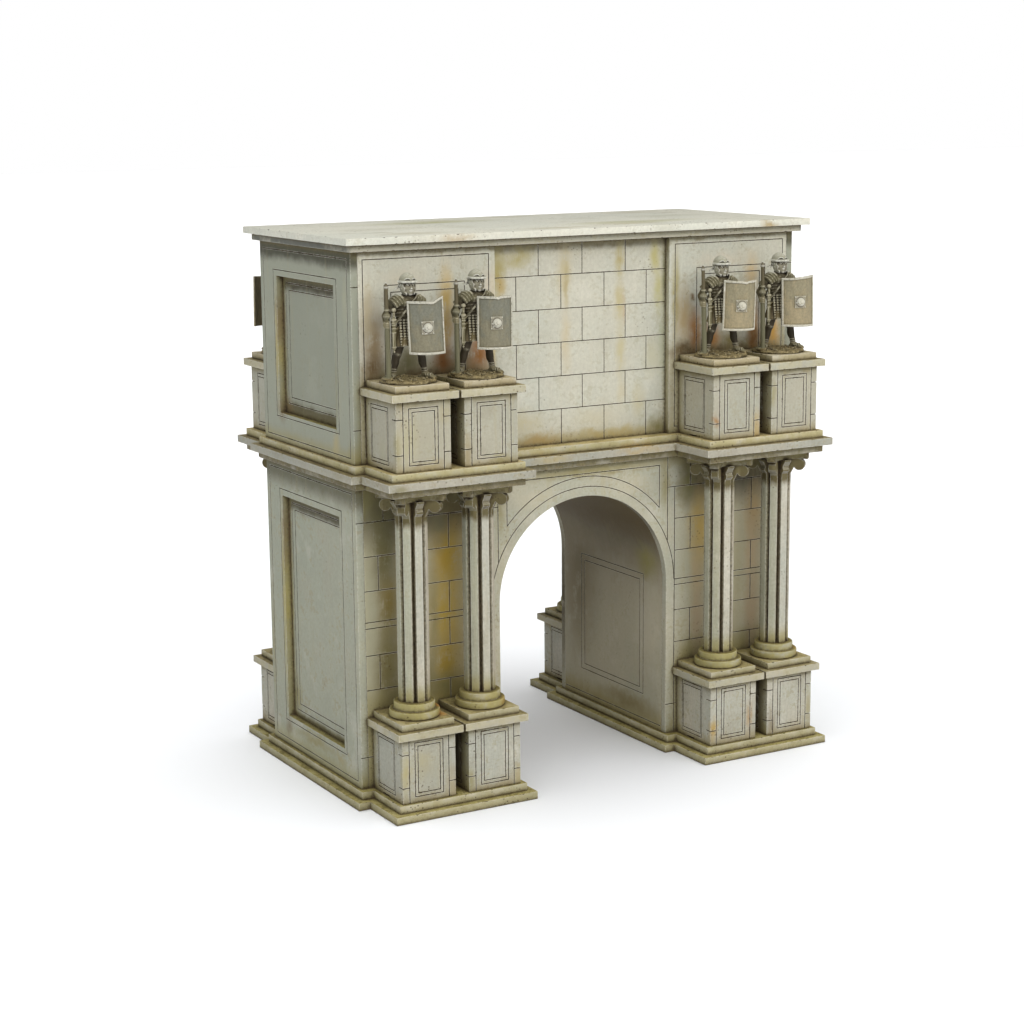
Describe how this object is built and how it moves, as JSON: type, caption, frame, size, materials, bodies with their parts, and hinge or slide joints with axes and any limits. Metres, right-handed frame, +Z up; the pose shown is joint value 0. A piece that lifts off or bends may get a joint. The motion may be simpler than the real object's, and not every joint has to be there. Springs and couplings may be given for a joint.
{
  "type": "tabletop scale model of a triumphal arch",
  "caption": "Painted board model of a single-bay triumphal arch with projecting columns and standing soldier figures on the attic.",
  "frame": {"origin": "centre of the underside of the two plinths, on the surface the model stands on", "axes": "+X along the front to its right, the front faces -Y, +Z up"},
  "size_m": [0.1842, 0.123, 0.1897],
  "materials": {
    "painted_board": "matt stone-grey paint with dark joint washes and ochre grime on fibreboard",
    "figure_plastic": "matt stone-grey paint with dark wash and pale edges on cast plastic"
  },
  "bodies": {
    "root": {"arch_vault": "painted_board", "attic_end_frames": "painted_board", "attic_end_panels": "painted_board", "cornice_lower_board": "painted_board", "cornice_middle_board": "painted_board", "cornice_upper_board": "painted_board", "front_arch_wall": "painted_board", "front_attic_panels": "painted_board", "front_attic_wall": "painted_board", "front_column_abaci": "painted_board", "front_column_bases": "painted_board", "front_column_blocks": "painted_board", "front_column_shafts": "painted_board", "front_lower_pedestal_caps": "painted_board", "front_lower_pedestals": "painted_board", "front_pier_walls": "painted_board", "front_statue_blocks": "painted_board", "front_statue_shields": "figure_plastic", "front_statues": "figure_plastic", "front_upper_pedestal_caps": "painted_board", "front_upper_pedestals": "painted_board", "lower_end_frames": "painted_board", "lower_end_panels": "painted_board", "passage_walls": "painted_board", "plinth_lower_boards": "painted_board", "plinth_upper_boards": "painted_board", "rear_arch_wall": "painted_board", "rear_attic_panels": "painted_board", "rear_attic_wall": "painted_board", "rear_column_abaci": "painted_board", "rear_column_bases": "painted_board", "rear_column_blocks": "painted_board", "rear_column_shafts": "painted_board", "rear_lower_pedestal_caps": "painted_board", "rear_lower_pedestals": "painted_board", "rear_pier_walls": "painted_board", "rear_statue_blocks": "painted_board", "rear_statue_shields": "figure_plastic", "rear_statues": "figure_plastic", "rear_upper_pedestal_caps": "painted_board", "rear_upper_pedestals": "painted_board", "roof_lower_board": "painted_board", "roof_upper_board": "painted_board"}
  },
  "joints": []
}
